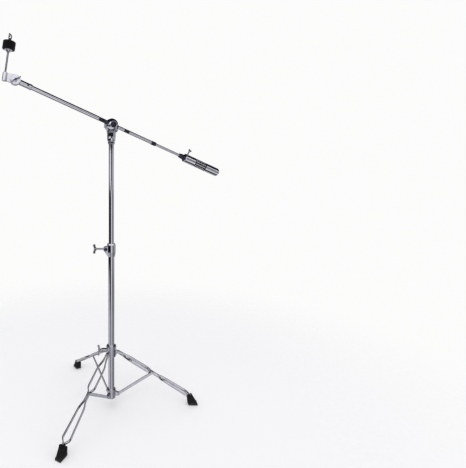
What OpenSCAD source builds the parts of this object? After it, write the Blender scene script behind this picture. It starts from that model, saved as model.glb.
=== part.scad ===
// Cymbal boom stand: a folding tripod, a two-stage mast, a boom tilter and a counterweighted boom
// that carries a cymbal between felts. Millimetres, +Z up, origin on the mast's axis at floor level.

/* [Tripod] */
// Distance of every leg and strut hinge from the mast's axis
hinge_r = 25; // [25:0.5:27]
// Height of the spider's hinges with the legs spread
spider_z = 188; // [184:1:196]
// Height of the bottom collar's hinges
bottom_z = 38; // [36:1:44]
// Distance of the knee rivets from the mast's axis with the legs spread
knee_r = 148; // [140:1:155]
// Length of a leg strip beyond its knee
leg_lower = 166; // [160:1:170]
// Width of the leg strips and struts
strip_w = 9.5; // [8.5:0.5:10.5]
// Thickness of a leg strip
strip_t = 2; // [1.6:0.2:2]
// Thickness of a strut
strut_t = 3; // [2.6:0.2:3]
// How far each strip bows out above the knee
upper_bow = 13; // [10:0.5:15]
// How far each strip bows out near the foot
lower_bow = 14; // [11:0.5:15]
// Width of a rubber foot
foot_w = 22; // [18:1:26]

/* [Mast] */
// Outside diameter of the base tube
base_d = 22.2; // [21.8:0.1:22.4]
// Outside diameter of the upper tube
upper_d = 19; // [18.6:0.1:19]
// Wall of both mast tubes
mast_wall = 1.4; // [1.2:0.1:1.4]
// Height of the lower edge of the height clamp
clamp_z = 531; // [500:1:600]
// Height of the lower edge of the boom tilter's neck
neck_z = 946; // [900:1:1000]
// Length of the upper tube below the neck
upper_below = 555; // [540:1:560]

/* [Boom tilter] */
// Radius of the domed head
head_r = 23.2; // [23:0.2:24]
// Height of the tilt axis above the neck's lower edge
tilt_rise = 57.5; // [57:0.5:60]
// Distance of the boom from the mast's axis, along the tilt axis
boom_off = 11; // [11:0.2:12]
// Compass direction of the boom's cymbal end, anticlockwise from +X
boom_turn = 203; // [0:1:359]
// Slope of the boom above level
boom_lift = 20.2; // [0:0.1:35]

/* [Boom] */
// Outside diameter of the front tube
front_d = 15; // [14.6:0.2:16]
// Outside diameter of the boom rod, which the tilter grips
rod_d = 12.7; // [12.5:0.1:12.8]
// Outside diameter of the thin rod that carries the weight
thin_d = 10; // [9.6:0.1:10.2]
// Distance from the tilt axis to the rear end of the front tube
front_start = 57; // [50:1:70]
// Distance from the tilt axis to the cymbal tilter's hinge
seat_reach = 362; // [320:1:420]
// Distance from the tilt axis back to the joint of the two rods
rod_back = 177; // [165:1:185]

/* [Counterweight] */
// Diameter of the counterweight
weight_d = 32.4; // [28:0.2:36]
// Length of the counterweight
weight_len = 168; // [120:1:180]
// Distance from the tilt axis back to the counterweight's front face
weight_back = 323; // [310:1:340]

/* [Cymbal seat] */
// Lean of the cymbal post towards the mast
post_lean = 7.6; // [0:0.1:15]
// Distance from the tilter's hinge to the post
post_reach = 34; // [32:1:38]
// Diameter of the threaded post
post_d = 6; // [5.6:0.1:6.4]
// Height of the lower felt's underside above the hinge, along the post
felt_z = 90; // [80:1:100]
// Diameter of the felts
felt_d = 40; // [34:1:44]
// Thickness of one felt
felt_t = 12.8; // [10:0.2:14]

/* [Hidden] */
$fn = 64;
slip = 0.05;   // radial clearance of a running fit
far = 200;     // longer than anything it cuts

chrome = [0.82, 0.83, 0.86];
dark_steel = [0.15, 0.15, 0.17];
black = [0.06, 0.06, 0.06];
nylon = [0.9, 0.9, 0.87];

// tripod linkage: leg and strut have equal links, so their slopes mirror each other
link_rise = (spider_z - bottom_z) / 2;
link_run = knee_r - hinge_r;
link = sqrt(link_rise * link_rise + link_run * link_run);
slope = atan(link_rise / link_run);
leg_end = link + leg_lower;
leg_turn = [0, 120, 240];
pin_r = 2.5;
lug_t = 6;                          // a spider lug, between the leg's strips
ear_gap = strut_t / 2 + 0.25;       // half the gap between a strut's two ears
ear_t = 3.2;
strip_in = strut_t / 2 + 0.6 + strip_t / 2;      // strip's middle at the knee
strip_top = lug_t / 2 + 0.4 + strip_t / 2;       // strip's middle at the lug
strip_foot = strip_t / 2 + 1.2;                  // strip's middle in the foot
base_r = base_d / 2;
spider_r = 17;
spider_low = spider_z - 14;
spider_high = spider_z + 24;
spider_bolt_z = spider_z + 6;
collar_r = 15;
collar_low = bottom_z - 12;
collar_high = bottom_z + 19;
foot_bolt = leg_end - 10;

// mast
upper_r = upper_d / 2;
clamp_h = 47;
clamp_top = clamp_z + clamp_h;
seat_z = clamp_z + 30;              // where the base tube ends and the bush begins
bush_r = 12.6;
bush_h = 12;
clamp_bolt_z = clamp_z + 27;
barrel_x = 20.5;
barrel_r = 6.2;
upper_top = neck_z + 26;
neck_r = 15.6;
neck_h = 36;
tilt_z = neck_z + tilt_rise;

// boom
rod_r = rod_d / 2;
front_r = front_d / 2;
thin_r = thin_d / 2;
sleeve_r = 8;
sleeve_in = rod_r + slip;
eye_r = 11;
disc_gap = 0.3;                     // half the gap between facing teeth
seat_disc_r = 16;
collar_start = seat_reach - 56;     // rear edge of the cymbal tilter's tube socket
mark_from = 48;
mark_len = 21;
mark_deep = 0.6;
nut_z = felt_z + 2 * felt_t + 10;
grip_from = 48;                     // the fluted band on the counterweight
grip_len = 54;
weight_screw_turn = 155;

// ---------------------------------------------------------------- shared shapes

module ring(r_out, r_in, z0, z1) {
  difference() {
    translate([0, 0, z0]) cylinder(r = r_out, h = z1 - z0);
    translate([0, 0, z0 - 1]) cylinder(r = r_in, h = z1 - z0 + 2);
  }
}

// turns a shape made along +Z so that it lies along +X or +Y
module along_x() rotate([0, 90, 0]) children();
module along_y() rotate([-90, 0, 0]) children();

// the boom's frame: +X to the cymbal end, +Y along the tilt axis
module at_boom() translate([0, 0, tilt_z]) rotate([0, -boom_lift, boom_turn]) children();

// a shape made along +Z, laid along the boom
module on_boom() at_boom() translate([0, boom_off, 0]) along_x() children();

// the cymbal seat's frame: +Z up the post, origin on the seat's hinge
module at_seat() {
  at_boom() translate([seat_reach, boom_off, 0]) rotate([0, boom_lift - post_lean, 0]) children();
}

// a leg's frame: +X from the spider's hinge down the leg, +Y across it
module at_leg(i) rotate([0, 0, leg_turn[i]]) translate([hinge_r, 0, spider_z]) rotate([0, slope, 0]) children();

// a strut's frame: +X from the collar's hinge up the strut
module at_strut(i) rotate([0, 0, leg_turn[i]]) translate([hinge_r, 0, bottom_z]) rotate([0, -slope, 0]) children();

// both edges of a band of width w along a path, mitred at its corners
function unit(v) = v / norm(v);
function heading(p, i) = unit(p[min(i + 1, len(p) - 1)] - p[min(i, len(p) - 2)]);
function mitre(p, i) =
  let (a = heading(p, max(i - 1, 0)), b = heading(p, i), m = unit(a + b))
  [-m[1], m[0]] / (m * b);
function band(p, w) = concat(
  [for (i = [0 : len(p) - 1]) p[i] + mitre(p, i) * w / 2],
  [for (i = [len(p) - 1 : -1 : 0]) p[i] - mitre(p, i) * w / 2]);

// a ring of pointed radial teeth that stand on z = 0
module teeth(r_out, r_in, count, high) {
  for (i = [0 : count - 1])
    rotate([0, 0, 360 * i / count]) translate([r_in, 0, 0]) tooth(r_out - r_in, high);
}

module tooth(long, high) {
  rotate([90, 0, 90]) linear_extrude(long) polygon([[-high, -0.3], [high, -0.3], [0, high]]);
}

// two wings on a hub, along +Z, the wings in the XZ plane
module wings(span, high, hub_r, hub_h, thick) {
  lobe = high * 0.36;
  tip = span / 2 - lobe;
  cylinder(r = hub_r, h = hub_h);
  for (side = [-1, 1])
    translate([0, thick / 2, 0]) rotate([90, 0, 0]) linear_extrude(thick) {
      translate([side * tip, high - lobe]) circle(r = lobe);
      polygon([
        [side * hub_r * 0.4, 0.6],
        [side * (tip + lobe * 0.75), high - lobe * 1.62],
        [side * (tip - lobe * 0.5), high - lobe * 0.15],
        [side * hub_r * 0.4, hub_h - 0.6]
      ]);
    }
}

// ---------------------------------------------------------------- base

module base_tube() color(chrome) ring(base_r, base_r - mast_wall, collar_low + 0.4, seat_z);

module bottom_collar() {
  color(chrome) difference() {
    union() {
      translate([0, 0, collar_low]) cylinder(r = collar_r, h = collar_high - collar_low);
      translate([0, 0, collar_high - 5]) cylinder(r = collar_r + 1.2, h = 3.5);
      for (i = [0 : 2]) rotate([0, 0, leg_turn[i]]) for (side = [-1, 1]) strut_ear(side);
    }
    translate([0, 0, collar_low - 1]) cylinder(r = base_r, h = collar_high - collar_low + 2);
    for (i = [0 : 2]) rotate([0, 0, leg_turn[i]])
      translate([hinge_r, -far / 2, bottom_z]) along_y() cylinder(r = pin_r, h = far);
  }
}

module strut_ear(side) {
  middle = side * (ear_gap + ear_t / 2);
  translate([0, middle + ear_t / 2, bottom_z]) rotate([90, 0, 0]) linear_extrude(ear_t) {
    translate([hinge_r, 0]) circle(r = 5.4);
    polygon([[collar_r - 4, -8], [hinge_r, -5.3], [hinge_r, 5.3], [collar_r - 4, 11]]);
  }
}

module bottom_plug() {
  color(black) union() {
    translate([0, 0, collar_low - 3.4]) cylinder(r = base_r + 1.4, h = 3.4);
    translate([0, 0, collar_low - 1]) cylinder(r = base_r - mast_wall, h = 13);
  }
}

module strut_pins() {
  half = ear_gap + ear_t;
  color(chrome) for (i = [0 : 2]) rotate([0, 0, leg_turn[i]]) translate([hinge_r, 0, bottom_z]) {
    translate([0, -half, 0]) along_y() cylinder(r = pin_r, h = 2 * half);
    for (side = [-1, 1]) translate([0, side * half, 0]) rotate([-side * 90, 0, 0]) rivet_head();
  }
}

module rivet_head() cylinder(r1 = pin_r + 1.4, r2 = pin_r - 0.4, h = 1.5);

module height_clamp() {
  ear_y = 8;
  color(chrome) difference() {
    union() {
      translate([0, 0, clamp_z]) cylinder(r1 = 13.2, r2 = 15.6, h = 16);
      translate([0, 0, clamp_z + 16]) cylinder(r = 15.6, h = 26);
      translate([0, 0, clamp_z + 42]) cylinder(r1 = 15.6, r2 = 14.2, h = clamp_h - 42);
      for (side = [-1, 1]) translate([0, side * ear_y + 2.5, 0]) rotate([90, 0, 0]) linear_extrude(5) {
        translate([-barrel_x, clamp_bolt_z]) circle(r = 8.6);
        polygon([
          [-11, clamp_z + 4], [-14, clamp_z + 4], [-barrel_x - 7.3, clamp_bolt_z - 4.5],
          [-barrel_x, clamp_bolt_z + 8.5], [-11, clamp_bolt_z + 12]
        ]);
      }
    }
    translate([0, 0, clamp_z - 1]) cylinder(r = base_r, h = seat_z - clamp_z + 1);
    translate([0, 0, seat_z]) cylinder(r = bush_r + slip, h = bush_h + 0.2);
    translate([0, 0, clamp_z]) cylinder(r = upper_r + 0.5, h = clamp_h + 1);
    translate([-barrel_x, -far / 2, clamp_bolt_z]) along_y() cylinder(r = barrel_r + slip, h = far);
    translate([-far, -1.2, clamp_z + 20]) cube([far, 2.4, clamp_h]);
    translate([-far / 2 - base_r, 0, clamp_bolt_z]) along_x() cylinder(r = 4.4, h = far / 2);
    translate([-far - 17, -5.5, clamp_z + 20]) cube([far, 11, clamp_h]);
  }
}

module clamp_barrel_nut() {
  color(dark_steel) difference() {
    translate([-barrel_x, -12.2, clamp_bolt_z]) along_y() cylinder(r = barrel_r, h = 24.4);
    translate([-barrel_x - 10, 0, clamp_bolt_z]) along_x() cylinder(r = 3.5 + slip, h = 20);
    for (side = [-1, 1]) translate([-barrel_x, side * 12.2, clamp_bolt_z]) along_y()
      translate([0, 0, -0.8]) cylinder(r = 3.2, h = 1.6);
  }
}

module height_wing_bolt() {
  tip = bush_r + 0.4;
  color(chrome) translate([-tip, 0, clamp_bolt_z]) rotate([0, -90, 0]) {
    cylinder(r = 3.5, h = 42);
    translate([0, 0, 40]) wings(35, 13, 4.6, 10, 3);
  }
}

// ---------------------------------------------------------------- spider, struts and legs

module spider() {
  color(chrome) difference() {
    union() {
      translate([0, 0, spider_low]) cylinder(r = spider_r, h = spider_high - spider_low);
      translate([0, 0, spider_high - 7]) cylinder(r = spider_r + 1.2, h = 4);
      for (i = [0 : 2]) rotate([0, 0, leg_turn[i]]) spider_lug();
      translate([-36, 0, spider_bolt_z]) along_x() cylinder(r = 7.2, h = 22);
    }
    translate([0, 0, spider_low - 1]) cylinder(r = base_r + slip, h = far);
    for (i = [0 : 2]) rotate([0, 0, leg_turn[i]])
      translate([hinge_r, -far / 2, spider_z]) along_y() cylinder(r = pin_r, h = far);
    translate([-far / 2, 0, spider_bolt_z]) along_x() cylinder(r = 3.5 + slip, h = far / 2);
  }
}

module spider_lug() {
  translate([0, lug_t / 2, spider_z]) rotate([90, 0, 0]) linear_extrude(lug_t) {
    translate([hinge_r, 0]) circle(r = 5);
    polygon([[spider_r - 4, -12], [hinge_r, -4.9], [hinge_r, 4.9], [spider_r - 4, 9]]);
  }
}

// each pin ends flush in its lug, so that the folding strips pass it freely
module spider_pins() {
  color(chrome) for (i = [0 : 2]) rotate([0, 0, leg_turn[i]])
    translate([hinge_r, -lug_t / 2, spider_z]) along_y() cylinder(r = pin_r, h = lug_t);
}

module spider_wing_bolt() {
  color(chrome) translate([-base_r - 0.4, 0, spider_bolt_z]) rotate([0, -90, 0]) rotate([0, 0, 24]) {
    cylinder(r = 3.5, h = 28);
    translate([0, 0, 26]) wings(36, 13, 4.6, 10, 3);
  }
}

module strut(i) {
  color(chrome) at_strut(i) difference() {
    translate([0, strut_t / 2, 0]) rotate([90, 0, 0]) linear_extrude(strut_t) {
      translate([0, -strip_w / 2]) square([link, strip_w]);
      circle(r = strip_w / 2);
      translate([link, 0]) circle(r = strip_w / 2);
    }
    for (s = [0, link]) translate([s, -far / 2, 0]) along_y() cylinder(r = pin_r + slip, h = far);
  }
}

// one pressed strip: close at the lug, bowed out, close at the knee, bowed out, closed in the foot
module leg_strip(i, side) {
  path = [
    [-5, strip_top], [20, strip_top], [50, upper_bow], [link - 18, upper_bow], [link - 6, strip_in],
    [link + 26, strip_in], [link + 45, lower_bow - 4], [leg_end - 24, lower_bow],
    [leg_end - 14, strip_foot], [leg_end, strip_foot]
  ];
  color(chrome) at_leg(i) mirror([0, side < 0 ? 1 : 0, 0]) difference() {
    translate([0, 0, -strip_w / 2]) linear_extrude(strip_w) polygon(band(path, strip_t));
    for (s = [0, link]) translate([s, 0, 0]) along_y() cylinder(r = pin_r, h = far);
    translate([foot_bolt, 0, 0]) along_y() cylinder(r = 1.6, h = far);
  }
}

// two short rivets at the lug and one long rivet through the strut at the knee
module leg_rivets(i) {
  top_in = strip_top - strip_t / 2;
  top_out = strip_top + strip_t / 2;
  knee_out = strip_in + strip_t / 2;
  color(chrome) at_leg(i) {
    for (side = [-1, 1]) {
      translate([0, side * top_in, 0]) rotate([-side * 90, 0, 0]) cylinder(r = pin_r, h = strip_t);
      translate([0, side * top_out, 0]) rotate([-side * 90, 0, 0]) rivet_head();
      translate([link, side * knee_out, 0]) rotate([-side * 90, 0, 0]) rivet_head();
    }
    translate([link, -knee_out, 0]) along_y() cylinder(r = pin_r, h = 2 * knee_out);
  }
}

// a rubber boot with a flat sole and a socket for the strip ends
module foot(i) {
  heel = 276;
  socket = [leg_end + 1, 2 * strip_foot + strip_t, strip_w];
  color(black) difference() {
    rotate([0, 0, leg_turn[i]]) translate([0, foot_w / 2, 0]) rotate([90, 0, 0]) linear_extrude(foot_w)
      polygon([[heel, 0], [heel + 32, 0], [heel + 33, 5], [heel + 18, 30], [heel + 11, 36],
        [heel - 3, 27], [heel - 4, 21]]);
    at_leg(i) translate([socket[0] - 30, -socket[1] / 2, -socket[2] / 2]) cube([30, socket[1], socket[2]]);
  }
}

// ---------------------------------------------------------------- upper mast

module mast_bush() {
  color(nylon) difference() {
    translate([0, 0, seat_z + 0.1]) cylinder(r = bush_r, h = bush_h);
    translate([0, 0, seat_z - 1]) cylinder(r = upper_r + slip, h = bush_h + 3);
  }
}

module upper_tube() color(chrome) ring(upper_r, upper_r - mast_wall, neck_z - upper_below, upper_top);

module neck_ring() {
  color(chrome) difference() {
    translate([0, 0, neck_z - 11]) cylinder(r = 12.4, h = 9.5);
    translate([0, 0, neck_z - 12]) cylinder(r = upper_r, h = 12);
    rotate([0, 0, -62]) translate([0, 0, neck_z - 6.2]) along_x() cylinder(r = 2.4, h = 20);
  }
}

module neck_ring_screw() {
  color(dark_steel) rotate([0, 0, -62]) translate([upper_r, 0, neck_z - 6.2]) along_x() {
    cylinder(r = 2.4, h = 4);
    translate([0, 0, 5.1]) cube([3.6, 3.6, 4], center = true);
  }
}

module tilter_base() {
  back = -15;
  color(chrome) difference() {
    union() {
      translate([0, 0, neck_z]) cylinder(r1 = neck_r - 1.6, r2 = neck_r, h = neck_h - 4);
      translate([0, 0, neck_z + neck_h - 5]) cylinder(r = neck_r + 1.4, h = 4);
      at_tilter() {
        translate([0, 0, back]) cylinder(r = head_r - 1, h = -back - 1.6);
        translate([0, 0, -1.6]) teeth(head_r - 1.6, 12, 30, 1.6 - disc_gap);
      }
      at_tilter() translate([0, 0, back]) rotate([0, 0, 90]) linear_extrude(-back - 1.6)
        polygon([[8, 27], [20, 27], [27, 18], [24, -12], [14, -14], [12, 12]]);
    }
    translate([0, 0, neck_z - 1]) cylinder(r = upper_r, h = upper_top - neck_z + 1);
    at_tilter() translate([0, 0, disc_gap]) cylinder(r = head_r + 0.7, h = far);
    at_tilter() translate([0, 0, back - 1]) cylinder(r = 4 + slip, h = 30);
  }
}

// the tilt axis's frame: +Z along the axis, from the base half to the head
module at_tilter() translate([0, 0, tilt_z]) rotate([0, 0, boom_turn]) along_y() children();

module tilter_washer() color(chrome) at_tilter() ring(9, 4.2, -17.2, -15);

module tilter_head() {
  face = 1.6;
  color(chrome) at_boom() difference() {
    union() {
      along_y() intersection() {
        translate([0, 0, face]) cylinder(r = head_r, h = 22 - face);
        translate([0, 0, 0.8]) sphere(r = 24.6);
      }
      along_y() translate([0, 0, face]) mirror([0, 0, 1]) teeth(head_r - 0.6, 12, 30, face - disc_gap);
    }
    along_y() translate([0, 0, -1]) cylinder(r = eye_r + 0.15, h = 40);
    translate([-far / 2, boom_off, 0]) along_x() cylinder(r = sleeve_r + slip, h = far);
  }
}

// a bolt with an eye round the boom sleeve: tightening it grips the boom and the teeth at once
module eye_bolt() {
  color(dark_steel) at_boom() difference() {
    along_y() union() {
      translate([0, 0, 1.2]) cylinder(r = eye_r, h = 18.2);
      translate([0, 0, -28]) cylinder(r = 4, h = 30);
    }
    translate([-far / 2, boom_off, 0]) along_x() cylinder(r = sleeve_r + slip, h = far);
    along_y() translate([0, 0, 18.6]) cylinder(r = 5, h = 3, $fn = 6);
  }
}

module tilter_wing_nut() {
  color(chrome) at_boom() rotate([0, 35, 0]) along_y() difference() {
    translate([0, 0, -17.6]) mirror([0, 0, 1]) wings(38, 15, 7.4, 9, 3.2);
    translate([0, 0, -40]) cylinder(r = 4 + slip, h = 30);
  }
}

// ---------------------------------------------------------------- boom

module boom_sleeve() {
  color(dark_steel) on_boom() difference() {
    union() {
      translate([0, 0, -21]) cylinder(r = sleeve_r, h = 45);
      translate([0, 0, 23]) cylinder(r = front_r - 0.5, h = front_start - 23.4);
    }
    translate([0, 0, -30]) cylinder(r = sleeve_in, h = far);
  }
}

module front_tube() color(chrome) on_boom() ring(front_r, rod_r, front_start, seat_reach - 24);

module boom_rod() {
  color(chrome) on_boom() difference() {
    translate([0, 0, -rod_back]) cylinder(r = rod_r, h = rod_back + front_start + 45);
    translate([0, 0, -rod_back - 1]) cylinder(r = thin_r, h = far * 2);
    translate([0, 0, -mark_from - mark_len]) ring(rod_r + 1, rod_r - mark_deep, 0, mark_len);
  }
}

module mark_ring() {
  color(black) on_boom() translate([0, 0, -mark_from - mark_len]) ring(rod_r, rod_r - mark_deep, 0, mark_len);
}

module rod_collar() {
  color(dark_steel) on_boom() difference() {
    translate([0, 0, -rod_back - 10]) cylinder(r = rod_r + 1.1, h = 20);
    translate([0, 0, -rod_back]) cylinder(r = rod_r, h = 12);
    translate([0, 0, -rod_back - 12]) cylinder(r = thin_r, h = 20);
  }
}

module thin_rod() {
  color(chrome) on_boom() translate([0, 0, -weight_back - weight_len + 4])
    cylinder(r = thin_r, h = weight_back + weight_len - 4 - rod_back + 25);
}

module counterweight() {
  color(chrome) on_weight() difference() {
    cylinder(r = weight_d / 2, h = weight_len);
    translate([0, 0, -1]) cylinder(r = thin_r + slip, h = weight_len + 2);
    translate([0, 0, grip_from]) ring(weight_d, weight_d / 2 - 1.5, 0, grip_len);
    translate([0, 0, 7]) rotate([0, 0, weight_screw_turn]) along_x() cylinder(r = 3 + slip, h = far);
  }
}

// the counterweight's frame: +Z towards its rear end
module on_weight() on_boom() translate([0, 0, -weight_back]) mirror([0, 0, 1]) children();
module weight_grip() {
  color(dark_steel) on_weight() difference() {
    translate([0, 0, grip_from]) ring(weight_d / 2 - 0.2, weight_d / 2 - 1.5, 0, grip_len);
    for (i = [0 : 23]) rotate([0, 0, 15 * i])
      translate([weight_d / 2, 0, grip_from - 1]) cylinder(r = 0.9, h = grip_len + 2);
  }
}

module weight_neck() {
  color(dark_steel) on_weight() difference() {
    union() {
      translate([0, 0, -25]) cylinder(r1 = 8, r2 = 9.6, h = 12);
      translate([0, 0, -13]) cylinder(r = 9.6, h = 13);
    }
    translate([0, 0, -30]) cylinder(r = thin_r + slip, h = 40);
  }
}

module weight_wing_screw() {
  color(chrome) on_weight() translate([0, 0, 7]) rotate([0, 0, weight_screw_turn]) along_x() {
    translate([0, 0, thin_r + 0.3]) cylinder(r = 3, h = 26);
    translate([0, 0, thin_r + 24]) rotate([0, 0, 90]) wings(22, 9, 3.6, 7, 2.6);
  }
}

// ---------------------------------------------------------------- cymbal tilter

module cymbal_tilter_rear() {
  color(chrome) at_boom() translate([0, boom_off, 0]) difference() {
    union() {
      along_x() translate([0, 0, collar_start]) cylinder(r = 9.2, h = 46);
      along_x() translate([0, 0, collar_start + 1.5]) cylinder(r = 9.8, h = 4);
      translate([seat_reach, 0, 0]) along_y() {
        translate([0, 0, -9]) cylinder(r = seat_disc_r, h = 7.6);
        translate([0, 0, -1.4]) teeth(seat_disc_r - 0.8, 8, 24, 1.4 - disc_gap);
      }
    }
    along_x() translate([0, 0, collar_start - 1]) cylinder(r = front_r, h = seat_reach - 24 - collar_start + 1);
    translate([seat_reach, -0.2, 0]) along_y() cylinder(r = seat_disc_r + 0.5, h = far);
    translate([seat_reach, -far / 2, 0]) along_y() cylinder(r = 3, h = far);
    translate([collar_start + 14, 0, 0]) along_y() cylinder(r = 2.2, h = 20);
  }
}

module cymbal_tilter_screw() {
  color(dark_steel) at_boom() translate([collar_start + 14, boom_off + front_r, 0]) along_y() {
    cylinder(r = 2.2, h = 2);
    translate([0, 0, 1.9]) cylinder(r1 = 3, r2 = 2, h = 1.4);
  }
}

module cymbal_tilter_bolt() {
  color(dark_steel) at_boom() translate([seat_reach, boom_off, 0]) along_y() {
    translate([0, 0, -13]) cylinder(r = 6, h = 4, $fn = 6);
    translate([0, 0, -9.5]) cylinder(r = 3, h = 30);
  }
}

// the half that carries the post: a toothed disc, a web and a barrel
module cymbal_tilter_front() {
  mid = 4.9;
  color(chrome) at_seat() difference() {
    union() {
      along_y() {
        translate([0, 0, 1.4]) cylinder(r = seat_disc_r, h = 7.2);
        translate([0, 0, 1.4]) mirror([0, 0, 1]) teeth(seat_disc_r - 0.8, 8, 24, 1.4 - disc_gap);
      }
      translate([0, mid + 2.8, 0]) rotate([90, 0, 0]) linear_extrude(5.6)
        polygon([[0, 15.6], [post_reach, 15.6], [post_reach, -11], [8, -13.6]]);
      translate([post_reach, mid, -12]) cylinder(r = 7.1, h = 28);
    }
    along_y() translate([0, 0, -20]) cylinder(r = 3 + slip, h = 60);
    translate([post_reach, mid, -13]) cylinder(r = post_d / 2, h = 40);
  }
}

module cymbal_tilter_wing_nut() {
  color(chrome) at_seat() along_y() rotate([0, 0, 38]) difference() {
    translate([0, 0, 8.8]) wings(36, 13, 5.6, 8, 3);
    translate([0, 0, 0]) cylinder(r = 3 + slip, h = 40);
  }
}

// the post's own frame
module at_post() at_seat() translate([post_reach, 4.9, 0]) children();

module cymbal_post() color(chrome) at_post() translate([0, 0, -12]) cylinder(r = post_d / 2, h = nut_z + 27);

module cup_washer() {
  color(chrome) at_post() difference() {
    union() {
      translate([0, 0, felt_z - 2.2]) cylinder(r = 13, h = 2.1);
      translate([0, 0, felt_z - 8]) cylinder(r1 = 6, r2 = 8, h = 6);
    }
    translate([0, 0, felt_z - 9]) cylinder(r = post_d / 2, h = 12);
  }
}

module post_sleeve() {
  color(black) at_post() ring(4.6, post_d / 2, felt_z, nut_z - 0.4);
}

module felt(z) {
  color(black) at_post() ring(felt_d / 2, 4.7, z, z + felt_t);
}

module lower_felt() felt(felt_z);
module upper_felt() felt(felt_z + felt_t + 0.2);

module cymbal_wing_nut() {
  color(chrome) at_post() rotate([0, 0, 60]) difference() {
    translate([0, 0, nut_z]) wings(22, 15, 5.4, 9, 3);
    translate([0, 0, nut_z - 1]) cylinder(r = post_d / 2 + slip, h = 30);
  }
}

base_tube();
bottom_collar();
bottom_plug();
strut_pins();
height_clamp();
clamp_barrel_nut();
height_wing_bolt();
spider();
spider_pins();
spider_wing_bolt();
strut(0);  // strut_a
strut(1);  // strut_b
strut(2);  // strut_c
leg_strip(0, 1);  // leg_a_strip_left
leg_strip(0, -1);  // leg_a_strip_right
leg_rivets(0);  // leg_a_rivets
foot(0);  // foot_a
leg_strip(1, 1);  // leg_b_strip_left
leg_strip(1, -1);  // leg_b_strip_right
leg_rivets(1);  // leg_b_rivets
foot(1);  // foot_b
leg_strip(2, 1);  // leg_c_strip_left
leg_strip(2, -1);  // leg_c_strip_right
leg_rivets(2);  // leg_c_rivets
foot(2);  // foot_c
mast_bush();
upper_tube();
neck_ring();
neck_ring_screw();
tilter_base();
tilter_washer();
tilter_head();
eye_bolt();
tilter_wing_nut();
boom_sleeve();
front_tube();
boom_rod();
mark_ring();
rod_collar();
thin_rod();
counterweight();
weight_grip();
weight_neck();
weight_wing_screw();
cymbal_tilter_rear();
cymbal_tilter_screw();
cymbal_tilter_bolt();
cymbal_tilter_front();
cymbal_tilter_wing_nut();
cymbal_post();
cup_washer();
post_sleeve();
lower_felt();
upper_felt();
cymbal_wing_nut();
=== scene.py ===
import math
import random

import bmesh
import bpy
from mathutils import Matrix, Vector, noise


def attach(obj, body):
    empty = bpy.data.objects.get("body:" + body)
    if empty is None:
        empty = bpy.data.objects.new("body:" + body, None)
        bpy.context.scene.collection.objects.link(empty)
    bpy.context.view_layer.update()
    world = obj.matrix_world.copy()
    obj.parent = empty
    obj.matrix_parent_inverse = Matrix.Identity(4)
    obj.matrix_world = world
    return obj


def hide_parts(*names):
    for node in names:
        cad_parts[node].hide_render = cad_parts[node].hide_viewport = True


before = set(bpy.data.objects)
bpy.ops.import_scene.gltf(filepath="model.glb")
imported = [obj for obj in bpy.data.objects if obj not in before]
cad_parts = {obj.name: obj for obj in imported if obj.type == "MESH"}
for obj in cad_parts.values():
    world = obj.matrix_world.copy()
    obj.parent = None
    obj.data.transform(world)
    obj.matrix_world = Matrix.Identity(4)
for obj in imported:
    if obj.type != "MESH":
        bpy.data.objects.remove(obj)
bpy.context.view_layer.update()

# Sizes below are in millimetres. Each piece is shaped about its own axis, then laid in its place
# on the stand by one of these frames, and only then taken to metres.
MM = 0.001
TILT_Z = 1003.5          # height of the boom's tilt axis
BOOM_TURN = 203          # compass direction of the cymbal end
BOOM_LIFT = 20.2         # slope of the boom above level
BOOM_OFF = 11            # boom beside the mast's axis, along the tilt axis
SEAT_REACH = 362         # from the tilt axis to the cymbal tilter's hinge
WEIGHT_BACK = 323        # from the tilt axis to the counterweight's front
POST_LEAN = 7.6
POST_REACH = 34
WING_TURN = 38           # of the cymbal tilter's wing nut about its bolt
HINGE_R = 25
SPIDER_Z = 188
COLLAR_Z = 38
LINK = 144.06            # from a leg's hinge to its knee
SLOPE = 31.37            # of a leg below level
LEG_TURNS = {"a": 0, "b": 120, "c": 240}
PIN_R = 2.5              # of the pins and rivets in the tripod
LOWER_TUBE_R = 11.1
UPPER_TUBE_R = 9.5
CLAMP_BOLT_Z = 558
SPIDER_BOLT_Z = 194
NECK_Z = 946             # foot of the boom tilter's neck
ROD_R = 6.35             # boom rod, which the tilter grips
POST_R = 3
FELT_HIGH = 12.8
FELT_R = 19.85
FELT_FIBRES = 520
FLOOR_R = 1.9            # metres


def move(x, y, z):
    return Matrix.Translation((x, y, z))


def turn(axis, degrees):
    return Matrix.Rotation(math.radians(degrees), 4, axis)


UPRIGHT = Matrix.Identity(4)
ALONG_X = turn("Y", 90)
ALONG_Y = turn("X", -90)
TILT = move(0, 0, TILT_Z) @ turn("Z", BOOM_TURN)
BOOM = TILT @ turn("Y", -BOOM_LIFT)
ON_BOOM = BOOM @ move(0, BOOM_OFF, 0) @ ALONG_X
ON_TILT = BOOM @ ALONG_Y
ON_WEIGHT = ON_BOOM @ move(0, 0, -WEIGHT_BACK) @ turn("X", 180)
SEAT = BOOM @ move(SEAT_REACH, BOOM_OFF, 0) @ turn("Y", BOOM_LIFT - POST_LEAN)
POST = SEAT @ move(POST_REACH, 4.9, 0)


def on_leg(letter):
    return turn("Z", LEG_TURNS[letter]) @ move(HINGE_R, 0, SPIDER_Z) @ turn("Y", SLOPE)


def on_strut(letter):
    return turn("Z", LEG_TURNS[letter]) @ move(HINGE_R, 0, COLLAR_Z) @ turn("Y", -SLOPE)


# ------------------------------------------------------------------ camera, light and floor

def set_camera():
    lens = bpy.data.cameras.new("camera")
    lens.sensor_width = 36
    lens.lens = 28.23
    lens.shift_x = 0.26
    lens.shift_y = -0.126
    lens.clip_start = 0.01
    lens.clip_end = 60
    camera = bpy.data.objects.new("camera", lens)
    camera.location = (0, -1.321, 0.824)
    camera.rotation_euler = (math.radians(90), 0, 0)
    bpy.context.scene.collection.objects.link(camera)
    bpy.context.scene.camera = camera


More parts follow.
